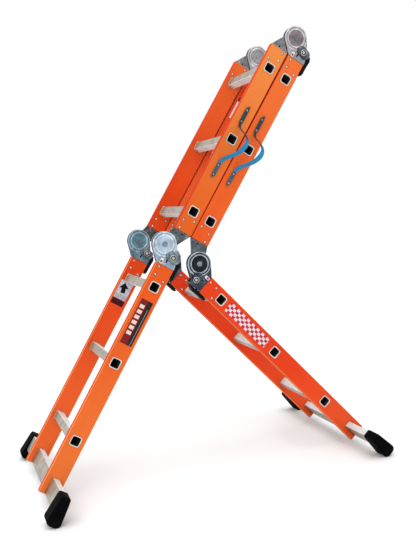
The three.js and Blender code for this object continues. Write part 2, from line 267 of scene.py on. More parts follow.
def stand(bm, name, place, finishes, body, replaced=(), wall=0.0, smooth=35):
    """Puts a built shape in its place on the ladder and on its body."""
    local = bm.verts.layers.float_vector.new("place")
    for vert in bm.verts:
        vert[local] = vert.co
    bmesh.ops.transform(bm, matrix=place, verts=bm.verts)
    if place.determinant() < 0:
        bmesh.ops.reverse_faces(bm, faces=bm.faces)
    mesh = bpy.data.meshes.new(name)
    bm.to_mesh(mesh)
    bm.free()
    for finish in finishes:
        mesh.materials.append(finish)
    mesh.shade_smooth()
    mesh.set_sharp_from_angle(angle=math.radians(smooth))
    piece = show(name, mesh)
    if wall:
        skin = piece.modifiers.new("wall", "SOLIDIFY")
        skin.thickness = wall
        skin.offset = -1
        skin.use_even_offset = True
    piece.modifiers.new("shading", "WEIGHTED_NORMAL").keep_sharp = True
    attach(piece, body)
    if replaced:
        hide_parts(*replaced)
    return piece


# --- Finishes ---

GROOVE_PITCH = 0.0085  # grooves across a sole
RIB_PITCH = 0.0022  # webbing, along and across
YARN_PITCH = 0.0015
RULE_PITCH = 0.0036  # lines on a label

class Finish:
    """One procedural finish, put together node by node."""

    def __init__(self, name, colour, roughness=0.5, metallic=0.0, gloss=0.5):
        self.material = bpy.data.materials.new(name)
        self.material.use_nodes = True
        self.tree = self.material.node_tree
        self.shader = self.tree.nodes["Principled BSDF"]
        self.shader.inputs["Metallic"].default_value = metallic
        self.shader.inputs["Roughness"].default_value = roughness
        self.shader.inputs["Base Color"].default_value = (*colour, 1)
        self.shader.inputs["Specular IOR Level"].default_value = gloss

    def node(self, kind, **settings):
        made = self.tree.nodes.new(kind)
        for key, value in settings.items():
            setattr(made, key, value)
        return made

    def link(self, out, into):
        self.tree.links.new(out, into)

    def local(self, scale):
        """Section coordinates, stretched by scale."""
        place = self.node("ShaderNodeAttribute", attribute_name="place")
        return self.mapped(place.outputs["Vector"], scale)

    def axes(self):
        """Section coordinates as u, y and z."""
        return self.parts(self.local((1, 1, 1)))

    def mapped(self, source, scale):
        mapping = self.node("ShaderNodeMapping")
        mapping.inputs["Scale"].default_value = scale
        self.link(source, mapping.inputs["Vector"])
        return mapping.outputs["Vector"]

    def noise(self, where, detail, rough=0.5):
        made = self.node("ShaderNodeTexNoise")
        made.inputs["Scale"].default_value = 1.0
        made.inputs["Detail"].default_value = detail
        made.inputs["Roughness"].default_value = rough
        self.link(where, made.inputs["Vector"])
        return made.outputs["Fac"]

    def grain(self, fineness, detail, rough=0.5):
        """Noise that is alike in every direction over the whole ladder."""
        place = self.node("ShaderNodeTexCoord")
        where = self.mapped(place.outputs["Object"], (fineness, fineness, fineness))
        return self.noise(where, detail, rough)

    def ranged(self, value, low, high, to_low=0.0, to_high=1.0):
        made = self.node("ShaderNodeMapRange")
        for key, number in zip(("From Min", "From Max", "To Min", "To Max"),
                               (low, high, to_low, to_high)):
            made.inputs[key].default_value = number
        self.link(value, made.inputs["Value"])
        return made.outputs["Result"]

    def sums(self, operation, one, other=None):
        made = self.node("ShaderNodeMath", operation=operation)
        for socket, value in zip(made.inputs, (one, other)):
            if isinstance(value, (int, float)):
                socket.default_value = value
            elif value is not None:
                self.link(value, socket)
        return made.outputs["Value"]

    def times(self, one, other):
        return self.sums("MULTIPLY", one, other)

    def parts(self, vector):
        made = self.node("ShaderNodeSeparateXYZ")
        self.link(vector, made.inputs["Vector"])
        return made.outputs["X"], made.outputs["Y"], made.outputs["Z"]

    def mix(self, factor, one, other):
        """Blends two colours; each is a colour or the result of another blend."""
        made = self.node("ShaderNodeMix", data_type="RGBA", clamp_factor=True)
        self.link(factor, made.inputs[0])
        for socket, value in ((made.inputs[6], one), (made.inputs[7], other)):
            if isinstance(value, tuple):
                socket.default_value = (*value, 1)
            else:
                self.link(value, socket)
        return made.outputs[2]

    def fade(self, value, low, high, one, other):
        """Goes from one colour at low to the other at high."""
        return self.mix(self.ranged(value, low, high), one, other)

    def edge(self, width, low=0.02, high=0.25):
        """1 on the edges of a piece, 0 on its flats."""
        rounded = self.node("ShaderNodeBevel", samples=4)
        rounded.inputs["Radius"].default_value = width
        flat = self.node("ShaderNodeNewGeometry")
        between = self.node("ShaderNodeVectorMath", operation="DOT_PRODUCT")
        self.link(rounded.outputs["Normal"], between.inputs[0])
        self.link(flat.outputs["Normal"], between.inputs[1])
        return self.ranged(between.outputs["Value"], 1.0 - low, 1.0 - high)

    def painted_shade_mask(self, reach):
        """1 down in corners between surfaces, 0 out in the open: where shade is painted."""
        shut = self.node("ShaderNodeAmbientOcclusion", samples=8)
        shut.inputs["Distance"].default_value = reach
        return self.ranged(shut.outputs["AO"], 0.80, 0.35)

    def paint(self, colour):
        self.link(colour, self.shader.inputs["Base Color"])

    def rough(self, value, *limits):
        self.link(self.ranged(value, *limits), self.shader.inputs["Roughness"])

    def relief(self, height, depth, strength=1.0):
        """Raises the surface by height, depth metres at most."""
        bump = self.node("ShaderNodeBump")
        bump.inputs["Distance"].default_value = depth
        bump.inputs["Strength"].default_value = strength
        self.link(height, bump.inputs["Height"])
        self.link(bump.outputs["Normal"], self.shader.inputs["Normal"])


def fibreglass(name, deep, bright, edge, painted_light_span=(0.2, 1.4), gloss=0.14):
    """Pultruded resin rail: fibre streaks, paler rubbed corners, painted shade in crevices and painted
    yellow light along the section.
    """
    made = Finish(name, bright, 0.34, gloss=gloss)
    _, _, along = made.axes()
    fibres = made.noise(made.local((420, 420, 9)), 4, 0.6)
    clouds = made.noise(made.local((9, 9, 3.5)), 2)
    tone = made.sums("ADD", made.times(fibres, 0.45), made.times(clouds, 0.75))
    body = made.fade(tone, 0.35, 0.85, deep, bright)
    scuffs = made.grain(70, 5, 0.7)
    rub = made.times(made.edge(0.004, 0.01, 0.35), made.ranged(scuffs, 0.3, 0.62))
    body = made.mix(rub, body, edge)
    shade = tuple(channel * 0.3 for channel in deep)
    # Painted light: yellower towards the edge colour along the section.
    body = made.mix(made.ranged(along, *painted_light_span, 0, 0.8), body, edge)
    # Painted shade: darker in crevices.
    made.paint(made.mix(made.times(made.painted_shade_mask(0.010), 0.45), body, shade))
    made.rough(scuffs, 0.2, 0.8, 0.38, 0.56)
    made.relief(fibres, 0.00012, 0.5)
    return made.material


def extrusion(name, colour, dull, metallic=0.7):
    """Mill-finish aluminium with die lines along y."""
    made = Finish(name, colour, 0.38, metallic)
    lines = made.noise(made.local((900, 4, 900)), 3)
    stains = made.grain(26, 4, 0.6)
    made.paint(made.fade(stains, 0.35, 0.75, colour, dull))
    made.rough(stains, 0.3, 0.7, 0.3, 0.5)
    made.relief(lines, 0.00015, 0.6)
    return made.material


def plated(name, colour, dull, bright, rough=(0.24, 0.42), metallic=0.9, patches=0.35):
    """Zinc-plated pressed steel: spangled, edges burnished and painted with a highlight, painted shade
    in crevices.
    """
    made = Finish(name, colour, 0.35, metallic)
    spangle = made.grain(260, 2)
    smear = made.grain(38, 5, 0.65)
    body = made.fade(smear, 0.38, 0.60, colour, dull)
    body = made.mix(made.ranged(smear, 0.42, 0.30, 0, patches), body, bright)
    # Burnish and painted highlight: edges towards bright.
    body = made.mix(made.edge(0.0012, 0.02, 0.3), body, bright)
    # Painted shade: crevices darker.
    dark = tuple(channel * 0.25 for channel in dull)
    made.paint(made.mix(made.painted_shade_mask(0.006), body, dark))
    made.rough(spangle, 0.3, 0.7, *rough)
    made.relief(spangle, 0.0001, 0.35)
    return made.material


def moulded(name, colour, worn, rough=(0.38, 0.6), grain=1500):
    """Moulded black plastic with a fine spark-eroded grain."""
    made = Finish(name, colour, gloss=0.06)
    skin = made.grain(grain, 2)
    wear = made.grain(60, 4, 0.7)
    edges = made.times(made.edge(0.002, 0.02, 0.4), made.ranged(wear, 0.4, 0.7))
    made.paint(made.mix(edges, colour, worn))
    made.rough(wear, 0.3, 0.7, *rough)
    made.relief(skin, 0.00012, 0.6)
    return made.material


def boot_rubber():
    """Black rubber with cross grooves low on the sole and a dusty tread."""
    black = (0.0015, 0.0015, 0.002)
    made = Finish("boot rubber", black, 0.72, gloss=0.03)
    _, along, down = made.axes()
    groove = made.sums("SINE", made.times(along, 2 * math.pi / GROOVE_PITCH))
    low = made.ranged(down, 0.962, 0.968)
    tread = made.times(made.ranged(groove, 0.45, 0.75), low)
    dust = made.grain(90, 5, 0.7)
    grey = made.times(made.ranged(dust, 0.45, 0.75), made.ranged(down, 0.955, 0.992))
    made.paint(made.mix(grey, black, (0.012, 0.0115, 0.011)))
    made.rough(dust, 0.3, 0.7, 0.6, 0.85)
    deep = made.sums("SUBTRACT", made.times(dust, 0.12), tread)
    made.relief(deep, 0.0012, 0.8)
    return made.material


def webbing(name, shade, shaded):
    """Woven blue strap, ribbed, edges bound; shaded is where its painted shade fades in and is full."""
    light, dark, lit = (0.014, 0.24, 0.48), (0.006, 0.11, 0.26), (0.030, 0.32, 0.58)
    made = Finish(name, light, 0.75, gloss=0.15)
    weave = made.node("ShaderNodeAttribute", attribute_name="weave")
    run, across, _ = made.parts(weave.outputs["Vector"])
    rib = made.sums("SINE", made.times(run, 2 * math.pi / RIB_PITCH))
    yarn = made.sums("SINE", made.times(across, 2 * math.pi / YARN_PITCH))
    cloth = made.ranged(made.times(rib, yarn), -1, 1)
    faded = made.grain(110, 4, 0.6)
    selvedge = made.ranged(made.sums("ABSOLUTE", across), 0.0068, 0.0078)
    body = made.fade(faded, 0.35, 0.7, light, lit)
    body = made.mix(made.times(cloth, 0.45), body, dark)
    body = made.mix(made.times(selvedge, 0.6), body, dark)
    # Painted shade over the start of the run.
    painted_shade_tone = made.mix(made.times(cloth, 0.5), shade, tuple(c * 0.4 for c in shade))
    made.paint(made.mix(made.ranged(run, *shaded), body, painted_shade_tone))
    made.shader.inputs["Sheen Weight"].default_value = 0.03
    made.rough(cloth, 0, 1, 0.65, 0.85)
    made.relief(cloth, 0.0005, 0.8)
    return made.material


def tube_inside():
    """Dull inside of a rung, painted dark as shade."""
    made = Finish("rung bore in painted shade", (0.012, 0.012, 0.012), 0.9)
    # Painted shade, mottled at random.
    shade_mottle = made.grain(60, 4)
    made.paint(made.fade(shade_mottle, 0.3, 0.7, (0.006, 0.006, 0.006), (0.02, 0.019, 0.017)))
    made.rough(shade_mottle, 0.3, 0.7, 0.8, 0.95)
    return made.material


def print_base(name, colour):
    """Vinyl label stock, faintly mottled; the caller adds its print."""
    made = Finish(name, colour, 0.4, gloss=0.1)
    mottle = made.grain(150, 3)
    made.rough(mottle, 0.3, 0.7, 0.3, 0.5)
    return made, mottle


def two_band_label():
    """Red and black bands; rounded white blocks stand where print would be."""
    made, mottle = print_base("two-band label", (0.3, 0.02, 0.02))
    u, _, z = made.axes()
    red = made.fade(mottle, 0.3, 0.7, (0.15, 0.008, 0.009), (0.21, 0.014, 0.015))
    black = made.fade(mottle, 0.3, 0.7, (0.012, 0.008, 0.008), (0.03, 0.02, 0.02))
    first, last, pitch = 0.226, 0.348, 0.0205
    step = made.sums("FRACT", made.sums("DIVIDE", made.sums("SUBTRACT", z, first), pitch))
    beside = made.sums("ABSOLUTE", made.sums("SUBTRACT", u, 0.0300))
    bars = made.times(made.sums("LESS_THAN", step, 0.64), made.sums("LESS_THAN", beside, 0.0090))
    bars = made.times(bars, made.sums("GREATER_THAN", z, first))
    bars = made.times(bars, made.sums("LESS_THAN", z, last))
    line = made.sums("LESS_THAN", made.sums("ABSOLUTE", made.sums("SUBTRACT", u, 0.0545)), 0.0009)
    line = made.times(line, made.sums("GREATER_THAN", z, 0.235))
    body = made.fade(u, 0.0425, 0.0430, red, black)
    body = made.mix(bars, body, (0.72, 0.55, 0.50))
    made.paint(made.mix(line, body, (0.30, 0.28, 0.27)))
    return made.material


def checker_tape():
    """Red and white checked reflective tape."""
    made, mottle = print_base("checked tape", (0.8, 0.8, 0.8))
    squares = made.node("ShaderNodeTexChecker")
    squares.inputs["Scale"].default_value = 1.0
    wide, tall = 0.0103, 0.0135  # one square
    place = made.local((1 / wide, 1, 1 / tall))
    shifted = made.node("ShaderNodeVectorMath", operation="ADD")
    shifted.inputs[1].default_value = (0.35, 0.5, 0.2)
    made.link(place, shifted.inputs[0])
    made.link(shifted.outputs["Vector"], squares.inputs["Vector"])
    red = made.fade(mottle, 0.3, 0.7, (0.40, 0.012, 0.040), (0.50, 0.025, 0.060))
    white = made.fade(mottle, 0.3, 0.7, (0.66, 0.50, 0.53), (0.80, 0.70, 0.72))
    made.paint(made.mix(squares.outputs["Fac"], red, white))
    return made.material


def plain_label(name, colour, band, limit, faded, ruled):
    """A label with grey lines past ruled and a band; limit is where the band fades in and is full."""
    made, mottle = print_base(name, colour)
    _, _, z = made.axes()
    body = made.fade(mottle, 0.35, 0.65, colour, faded)
    line = made.sums("LESS_THAN", made.sums("FRACT", made.sums("DIVIDE", z, RULE_PITCH)), 0.5)
    line = made.times(line, made.sums("GREATER_THAN", z, ruled))
    body = made.mix(made.times(line, 0.6), body, (0.12, 0.13, 0.15))
    made.paint(made.mix(made.ranged(z, *limit), body, band))
    return made.material


def lock_sticker():
    """White sticker with a red spot low on it."""
    made, mottle = print_base("lock sticker", (0.75, 0.78, 0.82))
    u, _, z = made.axes()
    du = made.sums("DIVIDE", made.sums("SUBTRACT", u, 0.017), 0.0042)
    dz = made.sums("DIVIDE", made.sums("SUBTRACT", z, 0.0595), 0.0058)
    spread = made.sums("ADD", made.times(du, du), made.times(dz, dz))
    body = made.fade(mottle, 0.3, 0.7, (0.62, 0.66, 0.72), (0.8, 0.82, 0.85))
    made.paint(made.fade(spread, 1.0, 0.9, body, (0.42, 0.02, 0.02)))
    return made.material


# Section 1's own tone; its yellower gradient along the section is painted light.
resin = fibreglass("orange fibreglass", (0.60, 0.060, 0.004), (0.74, 0.108, 0.008), (0.80, 0.23, 0.05))
# Section 2: a paler, yellower copy, painted light.
resin_lit_warm = fibreglass("yellow-orange fibreglass in painted light", (0.60, 0.078, 0.005), (0.70, 0.122, 0.010),
                        (0.77, 0.25, 0.055), (0.15, 0.85))
# Section 3: a deeper copy, painted shade, yellower towards the start of the section as painted light.
resin_shaded_deep = fibreglass("deep orange fibreglass in painted shade", (0.62, 0.056, 0.004), (0.75, 0.092, 0.008),
                         (0.80, 0.23, 0.05), (0.9, -0.6))
# Inner webs: a darker, redder copy of the resin, painted shade.
resin_shaded_inside = fibreglass("orange fibreglass, inner side in painted shade", (0.60, 0.036, 0.003),
                          (0.78, 0.066, 0.005), (0.82, 0.20, 0.04))
# Section 4 and its inner webs: a redder copy, painted shade.
resin_shaded_red = fibreglass("red-orange fibreglass in painted shade", (0.60, 0.030, 0.003), (0.76, 0.050, 0.006),
                       (0.82, 0.17, 0.04), (0.55, 1.6))
# Rounded corners of the leg rails: a paler copy, painted highlight.
resin_corner_highlight = fibreglass("pale fibreglass corner, painted highlight", (0.70, 0.17, 0.03), (0.80, 0.28, 0.07),
                          (0.86, 0.40, 0.16), gloss=0.04)
# Edge faces, and the corners of the middle sections: a deeper red copy, painted shade.
resin_side_shade = fibreglass("red fibreglass edge, painted shade", (0.44, 0.018, 0.004), (0.62, 0.036, 0.006),
                        (0.72, 0.09, 0.02), gloss=0.04)
mill = extrusion("mill aluminium", (0.42, 0.39, 0.33), (0.26, 0.24, 0.19))
# Top and bottom faces of rungs and foot bars, made brighter: painted light.
tread = extrusion("tread faces in painted light", (0.70, 0.76, 0.76), (0.50, 0.54, 0.54), 0.15)
mill_lip = plated("swaged aluminium lip", (0.80, 0.77, 0.73), (0.60, 0.57, 0.53), (0.92, 0.90, 0.87))
bore = tube_inside()
strap_steel = plated("dull strap rivet steel", (0.27, 0.31, 0.33), (0.16, 0.19, 0.21),
                     (0.46, 0.50, 0.52))
rivet_steel = plated("rivet steel", (0.66, 0.64, 0.62), (0.44, 0.42, 0.40), (0.88, 0.86, 0.84),
                     (0.18, 0.3))
pin_steel = plated("hinge pin steel", (0.20, 0.25, 0.30), (0.11, 0.14, 0.18), (0.62, 0.70, 0.76),
                   (0.2, 0.34))
# Lever colours per hinge: painted reflection.
LEVER_REFLECTION_COLOURS = {
    "12": ((0.27, 0.34, 0.40), (0.10, 0.13, 0.16), (0.72, 0.80, 0.86)),
    "23": ((0.15, 0.17, 0.19), (0.04, 0.05, 0.055), (0.62, 0.64, 0.67)),
    "34": ((0.075, 0.10, 0.13), (0.018, 0.025, 0.034), (0.50, 0.58, 0.64)),
}
LEVER_REFLECTION_LOOKS = {name: plated(f"lever steel in painted reflection {name}", *colours, (0.2, 0.36))
               for name, colours in LEVER_REFLECTION_COLOURS.items()}
# Black for painted shade in pockets, holes and rivet feet; also the print of the arrow.
painted_shade_and_print_black = moulded("black for painted shade and print", (0.006, 0.007, 0.010), (0.02, 0.02, 0.02))
grip_black = moulded("grip plastic", (0.005, 0.005, 0.006), (0.030, 0.030, 0.030))
rubber = boot_rubber()
# The blue band is in painted shade over the start of its run.
strap_blue = webbing("blue webbing", (0.022, 0.045, 0.060), (0.185, 0.152))
# The two strap ends are one cloth in two copies: dark in painted shade, teal in painted light.
strap_end_shaded = webbing("dark strap end in painted shade", (0.030, 0.055, 0.072), (0.60, 0.59))
strap_end_lit = webbing("teal strap end in painted light", (0.045, 0.130, 0.175), (0.60, 0.59))


def hinge_finishes(name, cheek, pan, ring):
    """Cheek, pan and ring finishes of one hinge, each given by its colour, which carries painted
    reflection; the ring is a painted highlight.
    """
    made = []
    for part, colour, edge in (("cheek", cheek, 0.5), ("pan", pan, 0.35), ("ring", ring, 0.8)):
        dull = tuple(channel * 0.6 for channel in colour)
        bright = tuple(channel + (0.95 - channel) * edge for channel in colour)
        patches = 0.12 if part == "pan" else 0.45
        made.append(plated(f"zinc {part} {name}", colour, dull, bright, metallic=0.75, patches=patches))
    return tuple(made)


# Colours per hinge and side: painted reflection, with dark pans and bright rims.
HINGE_REFLECTION_COLOURS = {
    ("12", "front"): ((0.36, 0.46, 0.57), (0.48, 0.60, 0.74), (0.70, 0.80, 0.90)),
    ("12", "back"): ((0.18, 0.31, 0.40), (0.17, 0.36, 0.46), (0.42, 0.58, 0.68)),
    ("23", "front"): ((0.42, 0.40, 0.43), (0.27, 0.22, 0.23), (0.76, 0.74, 0.76)),
    ("23", "back"): ((0.44, 0.42, 0.44), (0.38, 0.36, 0.36), (0.76, 0.74, 0.75)),
    ("34", "front"): ((0.045, 0.060, 0.082), (0.008, 0.011, 0.016), (0.46, 0.53, 0.58)),
    ("34", "back"): ((0.08, 0.095, 0.12), (0.04, 0.05, 0.06), (0.34, 0.40, 0.45)),
}
HINGE_REFLECTION_LOOKS = {key: hinge_finishes(" ".join(key), *colours) for key, colours in HINGE_REFLECTION_COLOURS.items()}
# Leaf colours per hinge: painted reflection.
LEAF_REFLECTION_COLOURS = {
    "12": ((0.13, 0.155, 0.16), (0.05, 0.06, 0.065), (0.55, 0.60, 0.62)),
    "23": ((0.28, 0.27, 0.29), (0.14, 0.14, 0.15), (0.70, 0.70, 0.72)),
    "34": ((0.13, 0.16, 0.18), (0.05, 0.065, 0.075), (0.50, 0.56, 0.60)),
}
LEAF_REFLECTION_LOOKS = {name: plated(f"leaf steel in painted reflection {name}", *colours) for name, colours in LEAF_REFLECTION_COLOURS.items()}


# --- Rails and rungs ---

def rail_shape(end, slotted, inward):
    """A box rail to end, open for its rungs and, when slotted, for a foot bar."""
    bm = bmesh.new()
    half = RAIL_WIDTH / 2
    tube = box(bm, (SPREAD - half, -FACE, RAIL_START), (SPREAD + half, FACE, end))
    ends = [f for f in faces_of(tube) if abs(f.normal.z) > 0.9]
    bmesh.ops.delete(bm, geom=ends, context="FACES")
    round_off(bm, along_edges(bm.verts, 2), RAIL_CORNER, 4)
    hole = RUNG_HALF + GAP
    slot = BAR_HALF + GAP
    for offset in (-hole, hole) + ((-slot, slot) if slotted else ()):
        cut(bm, (SPREAD + offset, 0, 0), (1, 0, 0))
    for height in RUNG_PLACES:
        cut(bm, (0, 0, height - hole), (0, 0, 1))
        cut(bm, (0, 0, height + hole), (0, 0, 1))
    if slotted:
        cut(bm, (0, 0, LEG_END - BAR_TALL - GAP), (0, 0, 1))
    gone = []
    for face in bm.faces:
        middle = face.calc_center_median()
        across = abs(middle.x - SPREAD)
        if across < hole and any(abs(middle.z - z) < hole for z in RUNG_PLACES):
            gone.append(face)
        elif slotted and across < slot and middle.z > LEG_END - BAR_TALL:
            gone.append(face)
        # Slot 2 the edge faces, painted shade; slot 3 the rounded corners, painted highlight on the leg
        # sections and painted shade on the others; slot 1 the inner web, painted shade.
        elif abs(face.normal.x) > 0.25:
            face.material_index = 2 if abs(face.normal.x) > 0.95 else 3
        elif face.normal.y * inward > 0.9:
            face.material_index = 1
    bmesh.ops.delete(bm, geom=gone, context="FACES")
    return bm


def rung_shape():
    """A square rung tube, beaded inside each rail and swaged outside it."""
    bm = bmesh.new()
    end = OUTER + GAP
    tube = box(bm, (-RUNG_HALF, -end, -RUNG_HALF), (RUNG_HALF, end, RUNG_HALF))
    caps = [f for f in faces_of(tube) if abs(f.normal.y) > 0.9]
    bmesh.ops.delete(bm, geom=caps, context="FACES")
    round_off(bm, along_edges(bm.verts, 1), RUNG_CORNER, 4)
    bead = [(INSIDE - 0.0024, 1.0), (INSIDE - 0.0017, 1.04), (INSIDE - 0.0009, 1.05),
            (INSIDE - 0.0003, 1.03)]
    for y, size in bead:
        for way in (-1, 1):
            cut(bm, (0, way * y, 0), (0, 1, 0))
            hoop = [v for v in bm.verts if at(v.co.y, way * y)]
            bmesh.ops.scale(bm, vec=(size, 1, size), verts=hoop)
    lip = [(0.0376, 0.0001), (0.0384, 0.0006), (0.0378, 0.0013), (0.0360, 0.0016),
           (0.0340, 0.0015), (0.0320, 0.0010), (0.0310, 0.0), (0.0310, -0.003)]
    mouths = []
    for way in (-1, 1):
        hoop = [e for e in bm.edges if e.is_boundary and e.verts[0].co.y * way > 0]
        size = 2 * RUNG_HALF
        for wanted, out in lip:
            grown = bmesh.ops.extrude_edge_only(bm, edges=hoop)["geom"]
            verts = only(BMVert, grown)
            hoop = only(BMEdge, grown)
            bmesh.ops.scale(bm, vec=(wanted / size, 1, wanted / size), verts=verts)
            for vert in verts:
                vert.co.y = way * (end + out)
            use_finish(verts, 1)
            size = wanted
        mouths += hoop
    for face in bm.faces:
        if abs(face.calc_center_median().y) > end:
            face.material_index = 1
    # The bore's faces take the dark finish, painted shade.
    inside = bmesh.ops.bridge_loops(bm, edges=mouths)["faces"]
    for face in inside:
        face.material_index = 2
    bmesh.ops.recalc_face_normals(bm, faces=bm.faces)
    # Top and bottom faces take the tread finish, painted light.
    for face in bm.faces:
        if face.material_index == 0 and abs(face.normal.z) > 0.8:
            face.material_index = 3
    return bm


RIVET_DOME = 0.0039  # past it the foot of the head is painted shade


def add_rivet(bm, u, z, face, way):
    """A domed rivet head on the web at y = face, looking out along way."""
    profile = [(0, 0.0022), (0.0016, 0.0021), (0.0030, 0.0015), (0.0038, 0.0006),
               (0.0041, 0.0002), (0.0052, 0.0003), (0.0055, -0.0002), (0, -0.0002)]
    head = turned(bm, profile, 16, (u, z), face, way)
    # The foot of the head is painted black as shade.
    for rim in faces_of(head):
        middle = rim.calc_center_median()
        if math.hypot(middle.x - u, middle.z - z) > RIVET_DOME:
            rim.material_index = 1


def add_section(number):
    """Two rails, three rungs and the rivets of the hinge tangs."""
    place = PLACES[number]
    leg = number in (1, 4)
    end = LEG_END if leg else SPAN - RAIL_START
    body = f"section_{number}"
    # Section tones, inner webs, edges and corners are copies of the resin in painted light and shade.
    outside = {2: resin_lit_warm, 3: resin_shaded_deep, 4: resin_shaded_red}.get(number, resin)
    inside = resin_shaded_red if number == 4 else resin_shaded_inside
    corner = resin_corner_highlight if leg else resin_side_shade
    for word, way in SIDES.items():
        stand(rail_shape(end, leg, -way), f"box_rail_{number}_{word}", on_rail(place, word),
              (outside, inside, resin_side_shade, corner), body, (f"rail_{number}_{word}",),
              wall=RAIL_WALL)
    for letter, height in zip("abc", RUNG_PLACES):
        bm = rung_shape()
        bmesh.ops.translate(bm, vec=(SPREAD, 0, height), verts=bm.verts)
        stand(bm, f"step_tube_{number}{letter}", place, (mill, mill_lip, bore, tread), body,
              (f"rung_{number}{letter}",))
    ends = [place] if leg else [place, far_place(place)]
    for index, near in enumerate(ends):
        bm = bmesh.new()
        for word, way in SIDES.items():
            for u, z in TANG_RIVETS:
                add_rivet(bm, u, z, way * OUTER, way)
                add_rivet(bm, u, z, way * INSIDE, -way)
        stand(bm, f"tang_rivets_{number}_{'ab'[index]}", near, (rivet_steel, painted_shade_and_print_black), body)


# --- Hinges ---

def add_tang(bm, start):
    """The bar of a leaf that is riveted inside its rail."""
    low = (SPREAD - TANG_REACH, -TANG_HALF, start)
    high = (SPREAD + TANG_REACH, TANG_HALF, TANG_END)
    round_off(bm, edges_of(box(bm, low, high)), 0.0015, 2)


def fork_shape():
    """The outer leaf: two pressed cheeks with raised discs, and the tang."""
    bm = bmesh.new()
    inner = SPREAD - RAIL_WIDTH / 2 + 0.001
    for way in (-1, 1):
        corners = [(inner, 0.068), (EDGE - 0.001, 0.068), (EDGE - 0.001, 0.060)]
        low, high = sorted((way * CHEEK_INSIDE, way * FACE))
        hull_plate(bm, low, high, [(DISC_RADIUS - 0.0006, (0, 0), 56), (BOSS_RADIUS, BOSS, 28)],
                   corners)
        face_y = way * FACE
        for u in POCKET_U:
            cut(bm, (u, 0, 0), (1, 0, 0), flats_at(bm, face_y, way))
        for z in POCKET_Z:
            cut(bm, (0, 0, z), (0, 0, 1), flats_at(bm, face_y, way))
        pocket = []
        for face in flats_at(bm, face_y, way):
            middle = face.calc_center_median()
            if POCKET_U[0] < middle.x < POCKET_U[1] and POCKET_Z[0] < middle.z < POCKET_Z[1]:
                pocket.append(face)
        sunk = bmesh.ops.extrude_face_region(bm, geom=pocket)["geom"]
        verts = only(BMVert, sunk)
        bmesh.ops.translate(bm, vec=(0, -way * POCKET_DEPTH, 0), verts=verts)
        bmesh.ops.delete(bm, geom=[f for f in pocket if f.is_valid], context="FACES_ONLY")
        # The pocket's faces are painted black as shade.
        for face in {f for v in verts for f in v.link_faces}:
            face.material_index = 3
        rise = [(0, 0.0004), (0.0290, 0.0004), (0.0306, 0.0007), (0.0316, 0.0014), (0.0332, 0.0017),
                (0.0348, 0.0014), (0.0358, 0.0007), (0.0370, 0.0004), (0.0408, 0.0004),
                (0.0420, 0.0008), (0.0435, 0.0008), (0.0444, 0.0002), (0.0448, -0.0010),
                (0.0444, -0.0030), (0, -0.0030)]
        disc = turned(bm, rise, 64, (0, 0), face_y, way)
        # Slot 1 the pan and slot 2 the bead and outer lip; their colours carry painted reflection, the
        # ring's a painted highlight.
        for face in faces_of(disc):
            out = max(math.hypot(v.co.x, v.co.z) for v in face.verts)
            if out < PAN_RIM:
                face.material_index = 1
            elif out < BEAD_RIM or out > LIP_RIM:
                face.material_index = 2
            else:
                face.material_index = 0
    add_tang(bm, RAIL_START - 0.018)
    return bm


def leaf_shape():
    """The inner leaf: a disc between the cheeks, its neck and its tang."""
    bm = bmesh.new()
    disc = hull_plate(bm, -LEAF_HALF, LEAF_HALF, [(LEAF_RADIUS, (0, 0), 56)])
    round_off(bm, creases(edges_of(disc)), 0.001, 2)
    neck = [(0.002, 0.0694), (EDGE - 0.001, 0.0694), (0.0640, 0.0560), (0.0530, 0.0400),
            (0.0440, 0.0240), (0.0380, 0.0100), (-0.010, 0.030)]
    half = LEAF_HALF - 0.0002
    plate = hull_plate(bm, -half, half, [], neck)
    round_off(bm, creases(edges_of(plate)), 0.0008, 2)
    add_tang(bm, RAIL_START - 0.004)
    for way in (-1, 1):
        # The drain hole is a flat disc painted black as shade.
        rise = [(0, 0.0001), (0.0037, 0.0001), (0.0041, -0.001), (0, -0.001)]
        hole = turned(bm, rise, 16, DRAIN_HOLE, way * half, way)
        use_finish(hole, 1)
    return bm


def pin_shape():
    """The hinge rivet: a shank with a dimpled head at each end."""
    bm = bmesh.new()
    top = FACE + 0.0031
    for way in (-1, 1):
        rise = [(0, 0.0), (0.0030, -0.0001), (0.0036, -0.0006), (0.0052, -0.0007),
                (0.0060, 0.0), (0.0078, -0.0002), (0.0094, -0.0011), (0.0101, -0.0026), (0, -0.0026)]
        turned(bm, rise, 32, (0, 0), way * top, way)
    turned(bm, [(0, -FACE), (0.006, -FACE), (0.006, FACE), (0, FACE)], 24)
    return bm


